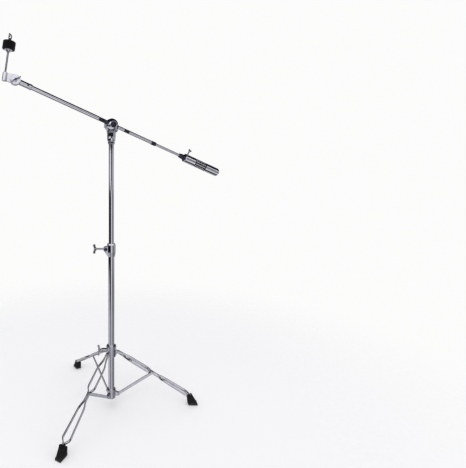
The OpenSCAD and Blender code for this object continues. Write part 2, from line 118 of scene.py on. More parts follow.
class Nodes:
    """Adds nodes to a tree and joins them up."""

    def __init__(self, tree):
        self.tree = tree

    def add(self, kind, **settings):
        node = self.tree.nodes.new(kind)
        for name, value in settings.items():
            setattr(node, name, value)
        return node

    def join(self, start, end):
        self.tree.links.new(start, end)
        return end

    def math(self, operation, first, second=None):
        node = self.add("ShaderNodeMath", operation=operation)
        for socket, value in zip(node.inputs, (first, second)):
            if value is None:
                continue
            if isinstance(value, (int, float)):
                socket.default_value = value
            else:
                self.join(value, socket)
        return node.outputs[0]

    def ramp(self, factor, stops, smooth="LINEAR"):
        node = self.add("ShaderNodeValToRGB")
        node.color_ramp.interpolation = smooth
        band = node.color_ramp.elements
        while len(band) < len(stops):
            band.new(0.5)
        for element, (place, colour) in zip(band, stops):
            element.position = place
            element.color = (*colour, 1) if isinstance(colour, tuple) else (colour, colour, colour, 1)
        self.join(factor, node.inputs[0])
        return node.outputs[0]

    def mix(self, factor, first, second):
        node = self.add("ShaderNodeMix", data_type="RGBA")
        for socket, value in ((node.inputs[0], factor), (node.inputs[6], first), (node.inputs[7], second)):
            if isinstance(value, (int, float)):
                socket.default_value = value
            elif isinstance(value, tuple):
                socket.default_value = (*value, 1)
            else:
                self.join(value, socket)
        return node.outputs[2]


# What the chrome mirrors, by compass bearing from the front, -180 at the back to 180 again: light
# walls with black cards between them. The view changes with the height it is mirrored from.
ROUND_LOW = [
    (-180, 0.34), (-150, 0.50), (-90, 0.44), (-66, 0.56), (-52, 0.34), (-39, 0.32), (-37, 0.01), (-28, 0.01),
    (-26, 0.34),
    (-14, 0.30), (-6, 0.60), (20, 0.52), (34, 0.22), (70, 0.25), (76, 0.01), (92, 0.01), (96, 0.46),
    (150, 0.36), (180, 0.26),
]
ROUND_DOWN = [
    (-180, 0.30), (-160, 0.50), (-100, 0.38), (-58, 0.34), (-50, 0.008), (-13, 0.005), (-7, 0.85), (24, 0.66),
    (32, 0.13),
    (78, 0.12), (90, 0.30), (118, 0.34), (128, 0.06), (142, 0.06), (150, 0.46), (180, 0.24),
]
ROUND_LEVEL = [
    (-180, 0.14), (-150, 0.34), (-128, 0.30), (-116, 0.008), (-13, 0.004), (-8, 0.92), (22, 0.72), (31, 0.20),
    (78, 0.22),
    (90, 0.40), (150, 0.34), (180, 0.14),
]
ROUND_RAISED = [
    (-180, 0.20), (-150, 0.36), (-122, 0.26), (-62, 0.24), (-56, 0.86), (-17, 0.80), (-11, 0.04), (26, 0.04),
    (33, 0.42),
    (80, 0.40), (90, 0.55), (150, 0.50), (180, 0.2),
]
ROUND_TOP = [
    (-180, 0.20), (-130, 0.34), (-118, 0.10), (-84, 0.06), (-78, 0.004), (36, 0.004), (58, 0.10), (66, 0.46),
    (94, 0.42),
    (104, 0.22), (150, 0.30), (180, 0.2),
]


def set_world():
    world = bpy.data.worlds.new("studio")
    bpy.context.scene.world = world
    world.use_nodes = True
    n = Nodes(world.node_tree)
    world.node_tree.nodes.clear()
    where = n.add("ShaderNodeTexCoord").outputs["Generated"]
    split = n.add("ShaderNodeSeparateXYZ")
    n.join(where, split.inputs[0])
    x, y, z = split.outputs
    bearing = n.math("ARCTAN2", x, n.math("MULTIPLY", y, -1))
    round_ = n.math("ADD", n.math("DIVIDE", bearing, 2 * math.pi), 0.5)
    height = n.math("ADD", n.math("MULTIPLY", z, 0.5), 0.5)
    depth = n.math("ADD", n.math("MULTIPLY", y, 0.5), 0.5)

    def walls(stops):
        return n.ramp(round_, [((b + 180) / 360, (v * 0.985, v * 0.98, v * 1.07)) for b, v in stops], "EASE")

    def from_height(low, high):
        return n.ramp(height, [(0.5 + low / 2, 0.0), (0.5 + high / 2, 1.0)])

    studio = n.mix(from_height(-0.37, -0.31), walls(ROUND_LOW), walls(ROUND_DOWN))
    studio = n.mix(from_height(-0.285, -0.235), studio, walls(ROUND_LEVEL))
    studio = n.mix(from_height(-0.05, -0.02), studio, walls(ROUND_RAISED))
    studio = n.mix(from_height(0.062, 0.085), studio, walls(ROUND_TOP))
    # light underneath in front, a dark strip below the stand, and light again behind
    below = n.ramp(depth, [
        (0.36, (0.72, 0.72, 0.75)), (0.42, (0.03, 0.03, 0.035)), (0.66, (0.03, 0.03, 0.035)),
        (0.74, (0.42, 0.42, 0.45)),
    ])
    studio = n.mix(from_height(-0.66, -0.50), below, studio)
    studio = n.mix(from_height(0.13, 0.26), studio, (1.0, 1.0, 1.05))
    # a tall narrow black card in front, which the wing bolts mirror
    narrow = n.ramp(round_, [(0.4835, 0.0), (0.4855, 1.0), (0.4955, 1.0), (0.4970, 0.0)])
    tall = n.ramp(height, [(0.72, 1.0), (0.735, 0.0)])
    studio = n.mix(n.math("MULTIPLY", narrow, tall), studio, (0.006, 0.006, 0.008))
    # a black card overhead and behind the stand gives a sloping tube its dark upper line
    behind = n.ramp(depth, [(0.33, 0.0), (0.37, 1.0)])
    up = n.ramp(z, [(0.17, 0.0), (0.24, 1.0)])
    forward = n.ramp(depth, [(0.17, 0.0), (0.20, 1.0)])
    overhead = n.ramp(z, [(0.42, 0.0), (0.47, 1.0)])
    kind = n.add("ShaderNodeLightPath")
    card = n.math("MAXIMUM", n.math("MULTIPLY", behind, up), n.math("MULTIPLY", forward, overhead))
    thin = n.math("SUBTRACT", 1.0, n.math("MULTIPLY", kind.outputs["Is Diffuse Ray"], 0.6))
    card = n.math("MULTIPLY", card, thin)
    studio = n.mix(card, studio, (0.012, 0.012, 0.016))
    mirrored = n.add("ShaderNodeBackground")
    n.join(studio, mirrored.inputs["Color"])
    mirrored.inputs["Strength"].default_value = 1.0
    plain = n.add("ShaderNodeBackground")
    plain.inputs["Color"].default_value = (0.97, 0.97, 0.965, 1)
    plain.inputs["Strength"].default_value = 1.0
    pick = n.add("ShaderNodeMixShader")
    n.join(kind.outputs["Is Camera Ray"], pick.inputs[0])
    n.join(mirrored.outputs[0], pick.inputs[1])
    n.join(plain.outputs[0], pick.inputs[2])
    out = n.add("ShaderNodeOutputWorld")
    n.join(pick.outputs[0], out.inputs[0])


def set_lamp(name, place, aim, size, power):
    lamp = bpy.data.lights.new(name, "AREA")
    lamp.shape = "RECTANGLE"
    lamp.size, lamp.size_y = size
    lamp.energy = power
    ob = bpy.data.objects.new(name, lamp)
    ob.location = place
    ob.rotation_euler = (Vector(aim) - Vector(place)).to_track_quat("-Z", "Y").to_euler()
    ob.visible_glossy = False
    ob.visible_camera = False
    bpy.context.scene.collection.objects.link(ob)


def set_lights():
    set_lamp("key_light", (-1.6, -2.0, 2.6), (0, 0, 0.5), (1.8, 1.8), 14)
    set_lamp("fill_light", (2.2, -1.2, 1.5), (0, 0, 0.5), (1.6, 1.6), 6)
    set_lamp("top_light", (0, 0.4, 2.9), (0, 0, 0), (2.4, 2.4), 12)


def set_floor():
    bm = bmesh.new()
    bmesh.ops.create_circle(bm, cap_ends=True, segments=96, radius=FLOOR_R)
    mesh = bpy.data.meshes.new("floor")
    bm.to_mesh(mesh)
    bm.free()
    floor = bpy.data.objects.new("floor", mesh)
    bpy.context.scene.collection.objects.link(floor)
    material = bpy.data.materials.new("pale_floor")
    material.use_nodes = True
    n = Nodes(material.node_tree)
    material.node_tree.nodes.clear()
    where = n.add("ShaderNodeTexCoord").outputs["Object"]
    far = n.add("ShaderNodeVectorMath", operation="LENGTH")
    n.join(where, far.inputs[0])
    fade = n.ramp(n.math("DIVIDE", far.outputs["Value"], FLOOR_R), [(0.30, 0.0), (0.86, 1.0)], "EASE")
    paint = n.add("ShaderNodeBsdfDiffuse")
    grain = n.add("ShaderNodeTexNoise")
    grain.inputs["Scale"].default_value = 60
    n.join(where, grain.inputs["Vector"])
    shade = n.ramp(grain.outputs["Fac"], [(0.3, (0.84, 0.84, 0.835)), (0.7, (0.87, 0.87, 0.865))])
    n.join(shade, paint.inputs["Color"])
    glow = n.add("ShaderNodeEmission")
    glow.inputs["Color"].default_value = (0.97, 0.97, 0.965, 1)
    glow.inputs["Strength"].default_value = 0.20
    lit = n.add("ShaderNodeAddShader")
    n.join(paint.outputs[0], lit.inputs[0])
    n.join(glow.outputs[0], lit.inputs[1])
    clear = n.add("ShaderNodeBsdfTransparent")
    edge = n.add("ShaderNodeMixShader")
    n.join(fade, edge.inputs[0])
    n.join(lit.outputs[0], edge.inputs[1])
    n.join(clear.outputs[0], edge.inputs[2])
    out = n.add("ShaderNodeOutputMaterial")
    n.join(edge.outputs[0], out.inputs[0])
    floor.data.materials.append(material)
    floor.visible_glossy = False


# ------------------------------------------------------------------ finishes

def start_finish(name):
    material = bpy.data.materials.new(name)
    material.use_nodes = True
    n = Nodes(material.node_tree)
    shader = material.node_tree.nodes["Principled BSDF"]
    where = n.add("ShaderNodeTexCoord").outputs["Object"]
    return material, n, shader, where


def speckle(n, where, scale, detail=3.0, stretch=None):
    """A noise of this many waves to the metre."""
    grain = n.add("ShaderNodeTexNoise")
    grain.inputs["Scale"].default_value = scale
    grain.inputs["Detail"].default_value = detail
    if stretch:
        mapping = n.add("ShaderNodeMapping")
        mapping.inputs["Scale"].default_value = stretch
        n.join(where, mapping.inputs["Vector"])
        where = mapping.outputs[0]
    n.join(where, grain.inputs["Vector"])
    return grain.outputs["Fac"]


def roughen(n, shader, grain, low, high, dull=0.35, sharp=0.65):
    node = n.add("ShaderNodeMapRange")
    n.join(grain, node.inputs["Value"])
    for name, value in (("From Min", dull), ("From Max", sharp), ("To Min", low), ("To Max", high)):
        node.inputs[name].default_value = value
    n.join(node.outputs[0], shader.inputs["Roughness"])
    return node.outputs[0]


def dent(n, shader, height, distance, strength=1.0, under=None):
    bump = n.add("ShaderNodeBump")
    bump.inputs["Distance"].default_value = distance
    bump.inputs["Strength"].default_value = strength
    n.join(height, bump.inputs["Height"])
    if under is not None:
        n.join(under, bump.inputs["Normal"])
    n.join(bump.outputs[0], shader.inputs["Normal"])
    return bump.outputs[0]


def make_chrome():
    """Polished tube plate: nearly a mirror, with faint handling haze and hairlines."""
    material, n, shader, where = start_finish("chrome_tube")
    shader.inputs["Metallic"].default_value = 1.0
    haze = speckle(n, where, 38, 4)
    n.join(n.ramp(haze, [(0.3, (0.80, 0.80, 0.845)), (0.7, (0.875, 0.875, 0.905))]), shader.inputs["Base Color"])
    roughen(n, shader, speckle(n, where, 90, 5), 0.035, 0.10)
    lines = speckle(n, where, 700, 2, (1, 1, 0.03))
    under = dent(n, shader, lines, 0.000006)
    dent(n, shader, speckle(n, where, 55, 1), 0.00006, under=under)
    return material


def make_cast_chrome():
    """Plated casting: the same plate over a skin with slight orange peel, with painted shade darkening its hollows
    and its edges painted a little lighter.
    """
    material, n, shader, where = start_finish("chrome_cast")
    shader.inputs["Metallic"].default_value = 1.0
    # painted shade: Pointiness darkens the casting's hollows, where shade falls, and paints its edges a little
    # lighter
    hollow = n.add("ShaderNodeNewGeometry").outputs["Pointiness"]
    painted_hollow_shade = n.ramp(hollow, [(0.42, (0.36, 0.36, 0.40)), (0.49, (0.80, 0.80, 0.84)), (0.56, (0.90, 0.90, 0.92))])
    stain = n.ramp(speckle(n, where, 90, 4), [(0.3, (0.93, 0.93, 0.95)), (0.7, (1.0, 1.0, 1.0))])
    shade = n.add("ShaderNodeMix", data_type="RGBA", blend_type="MULTIPLY")
    shade.inputs[0].default_value = 1.0
    n.join(painted_hollow_shade, shade.inputs[6])
    n.join(stain, shade.inputs[7])
    n.join(shade.outputs[2], shader.inputs["Base Color"])
    roughen(n, shader, speckle(n, where, 260, 5), 0.04, 0.10)
    dent(n, shader, speckle(n, where, 420, 2), 0.000012)
    return material


def make_strip_chrome():
    """Plated strip steel, rolled and pressed, with small dings."""
    material, n, shader, where = start_finish("chrome_strip")
    shader.inputs["Metallic"].default_value = 1.0
    stain = speckle(n, where, 70, 4)
    n.join(n.ramp(stain, [(0.3, (0.76, 0.76, 0.79)), (0.7, (0.87, 0.87, 0.89))]), shader.inputs["Base Color"])
    roughen(n, shader, speckle(n, where, 160, 5), 0.06, 0.17)
    dent(n, shader, speckle(n, where, 130, 2), 0.00008)
    return material


def make_zinc():
    """Grey zinc plate on a threaded rod."""
    material, n, shader, where = start_finish("zinc_rod")
    shader.inputs["Metallic"].default_value = 1.0
    cloud = speckle(n, where, 140, 5)
    n.join(n.ramp(cloud, [(0.3, (0.24, 0.24, 0.255)), (0.7, (0.36, 0.36, 0.375))]), shader.inputs["Base Color"])
    roughen(n, shader, speckle(n, where, 420, 4), 0.14, 0.30)
    dent(n, shader, speckle(n, where, 1500, 3), 0.000010)
    return material


def make_dark_steel():
    """Blackened steel, rubbed back to bright metal along its edges."""
    material, n, shader, where = start_finish("black_nickel")
    shader.inputs["Metallic"].default_value = 1.0
    edge = n.add("ShaderNodeNewGeometry").outputs["Pointiness"]
    worn = n.math("ADD", edge, n.math("MULTIPLY", n.math("SUBTRACT", speckle(n, where, 900, 3), 0.5), 0.05))
    rub = n.ramp(worn, [(0.53, 0.0), (0.60, 1.0)])
    black = n.ramp(speckle(n, where, 200, 4), [(0.3, (0.045, 0.047, 0.068)), (0.7, (0.10, 0.104, 0.14))])
    n.join(n.mix(rub, black, (0.45, 0.44, 0.45)), shader.inputs["Base Color"])
    roughen(n, shader, speckle(n, where, 300, 4), 0.12, 0.30)
    dent(n, shader, speckle(n, where, 800, 3), 0.000008)
    return material


def make_rubber():
    """Moulded black rubber with a fine matt skin and floor dust near the sole."""
    material, n, shader, where = start_finish("foot_rubber")
    split = n.add("ShaderNodeSeparateXYZ")
    n.join(where, split.inputs[0])
    low = n.add("ShaderNodeMapRange")
    n.join(split.outputs[2], low.inputs["Value"])
    for name, value in (("From Min", 0.0), ("From Max", 0.012), ("To Min", 0.55), ("To Max", 0.0)):
        low.inputs[name].default_value = value
    dust = n.math("MULTIPLY", low.outputs[0], speckle(n, where, 500, 6))
    skin = n.ramp(speckle(n, where, 220, 5), [(0.3, (0.003, 0.003, 0.003)), (0.7, (0.009, 0.009, 0.010))])
    shader.inputs["Specular IOR Level"].default_value = 0.3
    n.join(n.mix(dust, skin, (0.16, 0.155, 0.145)), shader.inputs["Base Color"])
    roughen(n, shader, speckle(n, where, 400, 4), 0.34, 0.58)
    dent(n, shader, speckle(n, where, 2600, 3), 0.00009)
    return material


def make_felt():
    """Pressed wool felt: matted fibres with pale lint caught in them."""
    material, n, shader, where = start_finish("wool_felt")
    matted = n.add("ShaderNodeTexVoronoi", feature="F1")
    matted.inputs["Scale"].default_value = 900
    bent = n.add("ShaderNodeVectorMath", operation="MULTIPLY_ADD")
    twist = n.add("ShaderNodeTexNoise")
    twist.inputs["Scale"].default_value = 350
    n.join(where, twist.inputs["Vector"])
    n.join(twist.outputs["Color"], bent.inputs[0])
    bent.inputs[1].default_value = (0.006, 0.006, 0.006)
    n.join(where, bent.inputs[2])
    n.join(bent.outputs[0], matted.inputs["Vector"])
    tuft = speckle(n, where, 1500, 6)
    shade = n.ramp(tuft, [
        (0.32, (0.002, 0.002, 0.002)), (0.62, (0.007, 0.007, 0.008)), (0.82, (0.040, 0.040, 0.041)),
    ])
    n.join(shade, shader.inputs["Base Color"])
    shader.inputs["Roughness"].default_value = 0.95
    shader.inputs["Sheen Weight"].default_value = 0.12
    shader.inputs["Sheen Roughness"].default_value = 0.5
    shader.inputs["Specular IOR Level"].default_value = 0.15
    under = dent(n, shader, matted.outputs["Distance"], 0.0006, 0.8)
    dent(n, shader, tuft, 0.0004, 0.9, under)
    return material


def make_nylon():
    """Cloudy white moulded nylon, a little yellowed."""
    material, n, shader, where = start_finish("bush_nylon")
    cloud = speckle(n, where, 180, 4)
    n.join(n.ramp(cloud, [(0.3, (0.66, 0.65, 0.60)), (0.7, (0.80, 0.79, 0.74))]), shader.inputs["Base Color"])
    shader.inputs["Subsurface Weight"].default_value = 0.12
    shader.inputs["Subsurface Radius"].default_value = (0.004, 0.003, 0.002)
    roughen(n, shader, speckle(n, where, 500, 4), 0.32, 0.5)
    dent(n, shader, speckle(n, where, 900, 3), 0.00004)
    return material


def make_plastic():
    """Moulded black plastic, half gloss, with a fine spark-eroded skin."""
    material, n, shader, where = start_finish("black_plastic")
    tone = speckle(n, where, 260, 4)
    n.join(n.ramp(tone, [(0.3, (0.010, 0.010, 0.011)), (0.7, (0.026, 0.026, 0.029))]), shader.inputs["Base Color"])
    roughen(n, shader, speckle(n, where, 700, 4), 0.28, 0.46)
    dent(n, shader, speckle(n, where, 3200, 2), 0.00005)
    return material


# ------------------------------------------------------------------ ways of making a piece

def soften(bm, width, corner=25, segments=3):
    """Rounds every edge whose faces turn by more than this many degrees."""
    sharp = [e for e in bm.edges if e.is_manifold and e.calc_face_angle(0.0) > math.radians(corner)]
    if sharp and width:
        bmesh.ops.bevel(
            bm, geom=sharp, offset=width, offset_type="OFFSET", segments=segments, profile=0.5,
            affect="EDGES", clamp_overlap=True, material=-1,
        )
    return bm


def lathe(profile, soft=0.4, bored=False, steps=96, bm=None, place=UPRIGHT):
    """Turns a profile of (radius, height) points about Z. bored joins its ends, as a tube's are."""
    own = bmesh.new()
    points = [own.verts.new((r, 0, z)) for r, z in profile]
    edges = [own.edges.new(pair) for pair in zip(points, points[1:])]
    if bored:
        edges.append(own.edges.new((points[-1], points[0])))
    bmesh.ops.spin(
        own, geom=points + edges, cent=(0, 0, 0), axis=(0, 0, 1), angle=2 * math.pi, steps=steps, use_merge=True
    )
    bmesh.ops.remove_doubles(own, verts=own.verts[:], dist=1e-4)
    bmesh.ops.recalc_face_normals(own, faces=own.faces[:])
    soften(own, soft)
    return gather(own, bm, place)


def gather(own, bm, place):
    """Moves a shape and adds it to the piece so far."""
    bmesh.ops.transform(own, matrix=place, verts=own.verts[:])
    if bm is None:
        return own
    spare = bpy.data.meshes.new("spare")
    own.to_mesh(spare)
    own.free()
    bm.from_mesh(spare)
    bpy.data.meshes.remove(spare)
    return bm


def tube(r_out, r_in, low, high, soft=0.35, steps=96):
    return lathe([(r_out, low), (r_out, high), (r_in, high), (r_in, low)], soft, True, steps)


def rod(radius, low, high, soft=0.5, steps=64, bm=None, place=UPRIGHT):
    return lathe([(0, low), (radius, low), (radius, high), (0, high)], soft, False, steps, bm, place)


def slab(outline, thick, soft=0.5, segments=3, bm=None, place=UPRIGHT):
    """A flat outline in XZ given a thickness along Y."""
    own = bmesh.new()
    face = own.faces.new([own.verts.new((x, -thick / 2, z)) for x, z in outline])
    grown = bmesh.ops.extrude_face_region(own, geom=[face])["geom"]
    raised = [v for v in grown if isinstance(v, bmesh.types.BMVert)]
    bmesh.ops.translate(own, vec=(0, thick, 0), verts=raised)
    bmesh.ops.recalc_face_normals(own, faces=own.faces[:])
    soften(own, soft, 35, segments)
    return gather(own, bm, place)


def thread(bm, radius, pitch, low, high, deep=0.35, place=UPRIGHT, steps=20):
    """A screw thread wound on a rod, its crest at this radius."""
    own = bmesh.new()
    ridge = [(radius - deep - 0.2, low), (radius, low + pitch * 0.45), (radius - deep - 0.2, low + pitch * 0.9)]
    face = own.faces.new([own.verts.new((r, 0, z)) for r, z in ridge])
    rounds = int((high - low - pitch) / pitch * steps)
    bmesh.ops.spin(
        own, geom=[face, *face.edges, *face.verts], cent=(0, 0, 0), axis=(0, 0, 1),
        dvec=(0, 0, pitch / steps), angle=2 * math.pi * rounds / steps, steps=rounds,
    )
    bmesh.ops.recalc_face_normals(own, faces=own.faces[:])
    return gather(own, bm, place)


def fluted(radius, low, high, count, deep, bm=None, place=UPRIGHT):
    """A ring of straight flutes, as on a knurled collar."""
    own = bmesh.new()
    bmesh.ops.create_circle(own, cap_ends=True, segments=count * 4, radius=radius)
    for i, vert in enumerate(own.verts):
        if i % 4 < 2:
            vert.co *= 1 - deep / radius
    face = own.faces[:]
    grown = bmesh.ops.extrude_face_region(own, geom=face)["geom"]
    raised = [v for v in grown if isinstance(v, bmesh.types.BMVert)]
    bmesh.ops.translate(own, vec=(0, 0, high - low), verts=raised)
    bmesh.ops.translate(own, vec=(0, 0, low), verts=own.verts[:])
    bmesh.ops.recalc_face_normals(own, faces=own.faces[:])
    return gather(own, bm, place)


def knurled(radius, bore, low, high, count, deep, lean, bm=None, place=UPRIGHT, rows=24):
    """A crossed knurl on a bored ring: its skin is pushed in where two leaning sets of grooves meet it."""
    own = bmesh.new()
    bmesh.ops.create_cone(
        own, cap_ends=False, segments=count * 4, radius1=radius, radius2=radius, depth=high - low,
        matrix=move(0, 0, (low + high) / 2),
    )
    upright = [e for e in own.edges if abs(e.verts[0].co.z - e.verts[1].co.z) > 0.5]
    bmesh.ops.subdivide_edges(own, edges=upright, cuts=rows - 1, use_grid_fill=True)
    for vert in own.verts:
        if low + 0.3 < vert.co.z < high - 0.3:
            around = math.atan2(vert.co.y, vert.co.x) * count
            along = (vert.co.z - low) / (high - low) * lean
            groove = max(math.cos(around + along), math.cos(around - along))
            vert.co.xy *= 1 - deep * max(0.0, groove) ** 2 / radius
    rims = [e for e in own.edges if e.is_boundary]
    grown = bmesh.ops.extrude_edge_only(own, edges=rims)["geom"]
    inner = [v for v in grown if isinstance(v, bmesh.types.BMVert)]
    for vert in inner:
        vert.co.xy *= bore / vert.co.xy.length
    bmesh.ops.bridge_loops(own, edges=[e for e in own.edges if e.is_boundary])
    bmesh.ops.recalc_face_normals(own, faces=own.faces[:])
    return gather(own, bm, place)


def settle(bm, name, body, finish, place, stands_for=(), hard=50, even=True):
    """Lays a piece in its place on the stand, in metres, and lets it ride on its body."""
    bmesh.ops.transform(bm, matrix=Matrix.Scale(MM, 4) @ place, verts=bm.verts[:])
    mesh = bpy.data.meshes.new(name)
    bm.to_mesh(mesh)
    bm.free()
    return place_mesh(mesh, name, body, finish, stands_for, hard, even)


def place_mesh(mesh, name, body, finish, stands_for, hard=50, even=True):
    mesh.materials.clear()
    mesh.materials.append(finish)
    mesh.shade_smooth()
    if hard:
        mesh.set_sharp_from_angle(angle=math.radians(hard))
    ob = bpy.data.objects.new(name, mesh)
    bpy.context.scene.collection.objects.link(ob)
    if even:
        normals = ob.modifiers.new("even_shading", "WEIGHTED_NORMAL")
        normals.keep_sharp = True
    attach(ob, body)
    if stands_for:
        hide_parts(*stands_for)
    return ob


def skin_over(mesh, grain, rounds):
    """One closed skin over everything in a mesh, its edges rounded as a casting's are."""
    ob = bpy.data.objects.new("casting", mesh)
    bpy.context.scene.collection.objects.link(ob)
    skin = ob.modifiers.new("skin", "REMESH")
    skin.mode = "VOXEL"
    skin.voxel_size = grain * MM
    ease = ob.modifiers.new("ease", "SMOOTH")
    ease.factor = 0.5
    ease.iterations = rounds
    bpy.context.view_layer.update()
    graph = bpy.context.evaluated_depsgraph_get()
    done = bpy.data.meshes.new_from_object(ob.evaluated_get(graph), depsgraph=graph)
    bpy.data.objects.remove(ob)
    bpy.data.meshes.remove(mesh)
    return done


def cast(node, name, body, finish, grain=0.5, rounds=4, square_to=UPRIGHT, added=None, shaped=None):
    """A casting on the shape of a CAD node, with its corners eased. The skin is laid square to one
    frame, so that the faces square to it stay flat. added holds more shapes, in place."""
    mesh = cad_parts[node].data.copy()
    square = Matrix.Scale(MM, 4) @ square_to @ Matrix.Scale(1 / MM, 4)
    bm = bmesh.new()
    bm.from_mesh(mesh)
    bmesh.ops.remove_doubles(bm, verts=bm.verts[:], dist=1e-6)
    if added is not None:
        bmesh.ops.transform(added, matrix=Matrix.Scale(MM, 4), verts=added.verts[:])
        gather(added, bm, UPRIGHT)
    bmesh.ops.transform(bm, matrix=square.inverted(), verts=bm.verts[:])
    bm.to_mesh(mesh)
    bm.free()
    done = skin_over(mesh, grain, rounds)
    done.transform(square)
    if shaped:
        for vert in done.vertices:
            vert.co = shaped(vert.co / MM) * MM
    return place_mesh(done, name, body, finish, (node,), 0, False)


def fuller_neck(point):
    """Swells the tilter's neck just above its foot, so that it stands nearly straight above."""
    up = (point.z - NECK_Z) / 31
    around = point.xy.length
    if 0 < up < 1 and 12.6 < around < 15.7:
        taper = 14 + 1.55 * up
        full = 14 + 1.5 * (1 - (1 - up) ** 5)
        point.xy *= full / taper
    return point


def bend_round(path, radius, steps=6):
    """The same path with each corner rounded."""
    points = [Vector(p) for p in path]
    out = [points[0]]
    for before, here, after in zip(points, points[1:], points[2:]):
        back, on = before - here, after - here
        reach = min(radius, back.length * 0.45, on.length * 0.45)
        start, end = here + back.normalized() * reach, here + on.normalized() * reach
        for i in range(steps + 1):
            t = i / steps
            out.append(start * (1 - t) ** 2 + here * 2 * t * (1 - t) + end * t * t)
    out.append(points[-1])
    return out


# ------------------------------------------------------------------ tripod

def make_base(chrome, cast_chrome, dark, plastic, strip):
    lower = tube(LOWER_TUBE_R, 9.7, 26.4, 561, 0.5)
    settle(lower, "lower_mast_tube", "base", chrome, UPRIGHT, ["base_tube"])
    cast("bottom_collar", "leg_collar", "base", cast_chrome, 0.55, 3)
    plug = lathe([
        (0, 22.6), (9.5, 22.6), (10.2, 23.4), (11.4, 23.4), (12.5, 24.4), (12.5, 26), (9.7, 26), (9.7, 38), (0, 38),
    ], 0.3)
    settle(plug, "mast_end_plug", "base", plastic, UPRIGHT, ["bottom_plug"])
    pins = bmesh.new()
    half = 4.95
    for degrees in LEG_TURNS.values():
        place = turn("Z", degrees) @ move(HINGE_R, 0, COLLAR_Z)
        rod(PIN_R, -half, half, 0.1, 32, pins, place @ ALONG_Y)
        for side in (1, -1):
            dome_rivet(pins, place @ turn("X", -side * 90) @ move(0, 0, half))
    settle(pins, "strut_pin_set", "base", strip, UPRIGHT, ["strut_pins"], 40)
    cast("height_clamp", "height_clamp_casting", "base", cast_chrome, 0.5, 3)
    nut = lathe([
        (0, -11.4), (3.2, -11.4), (3.2, -12.2), (6.2, -12.2), (6.2, 12.2), (3.2, 12.2), (3.2, 11.4), (0, 11.4),
    ], 0.4)
    settle(nut, "barrel_nut", "base", dark,
           move(-20.5, 0, CLAMP_BOLT_Z) @ ALONG_Y, ["clamp_barrel_nut"])


def dome_rivet(bm, place, radius=3.9, high=1.5):
    dome = [(0, 0), (radius, 0), (radius, 0.25), (radius * 0.9, high * 0.55), (radius * 0.62, high * 0.88), (0, high)]
    lathe(dome, 0.15, False, 32, bm, place)


def make_wing_bolts(cast_chrome):
    for word, core_end, out, high, twist in (
        ("height", 38, 13, CLAMP_BOLT_Z, 0),
        ("spider", 25, 11.5, SPIDER_BOLT_Z, 24),
    ):
        place = move(-out, 0, high) @ turn("Y", -90)
        wound = bmesh.new()
        thread(wound, 3.62, 1.25, 1.5, core_end, 0.4, place)
        cast(f"{word}_wing_bolt", f"{word}_wing_screw", f"{word}_bolt", cast_chrome, 0.34, 4,
             place @ turn("Z", twist), wound)


def make_spider(cast_chrome, strip):
    cast("spider", "spider_casting", "spider", cast_chrome, 0.55, 3)
    pins = bmesh.new()
    for degrees in LEG_TURNS.values():
        place = turn("Z", degrees) @ move(HINGE_R, 0, SPIDER_Z) @ ALONG_Y
        rod(PIN_R, -3, 3, 0.15, 32, pins, place)
    settle(pins, "spider_pin_set", "spider", strip, UPRIGHT, ["spider_pins"], 40)


def make_strut(letter, strip):
    half = 4.75
    outline = []
    for i in range(17):
        a = math.pi / 2 + math.pi * i / 16
        outline.append((half * math.cos(a), half * math.sin(a)))
    for i in range(17):
        a = -math.pi / 2 + math.pi * i / 16
        outline.append((LINK + half * math.cos(a), half * math.sin(a)))
    bar = slab(outline, 3, 0.55)
    # a shallow pressed groove along each side
    for side in (1, -1):
        groove = [(12, -2), (LINK - 12, -2), (LINK - 10.6, -1.2), (LINK - 10, 0), (LINK - 10.6, 1.2), (LINK - 12, 2),
                  (12, 2), (10.6, 1.2), (10, 0), (10.6, -1.2)]
        slab(groove, 0.3, 0.1, 2, bar, move(0, side * 1.5, 0))
    settle(bar, f"strut_bar_{letter}", f"strut_{letter}", strip, on_strut(letter), [f"strut_{letter}"])


LEG_PATH = [
    (-4.8, 4.4), (22, 4.4), (50, 13), (126, 13), (138, 3.1), (170, 3.1), (189, 10), (286, 14), (296, 2.2),
    (309.5, 2.2)
]


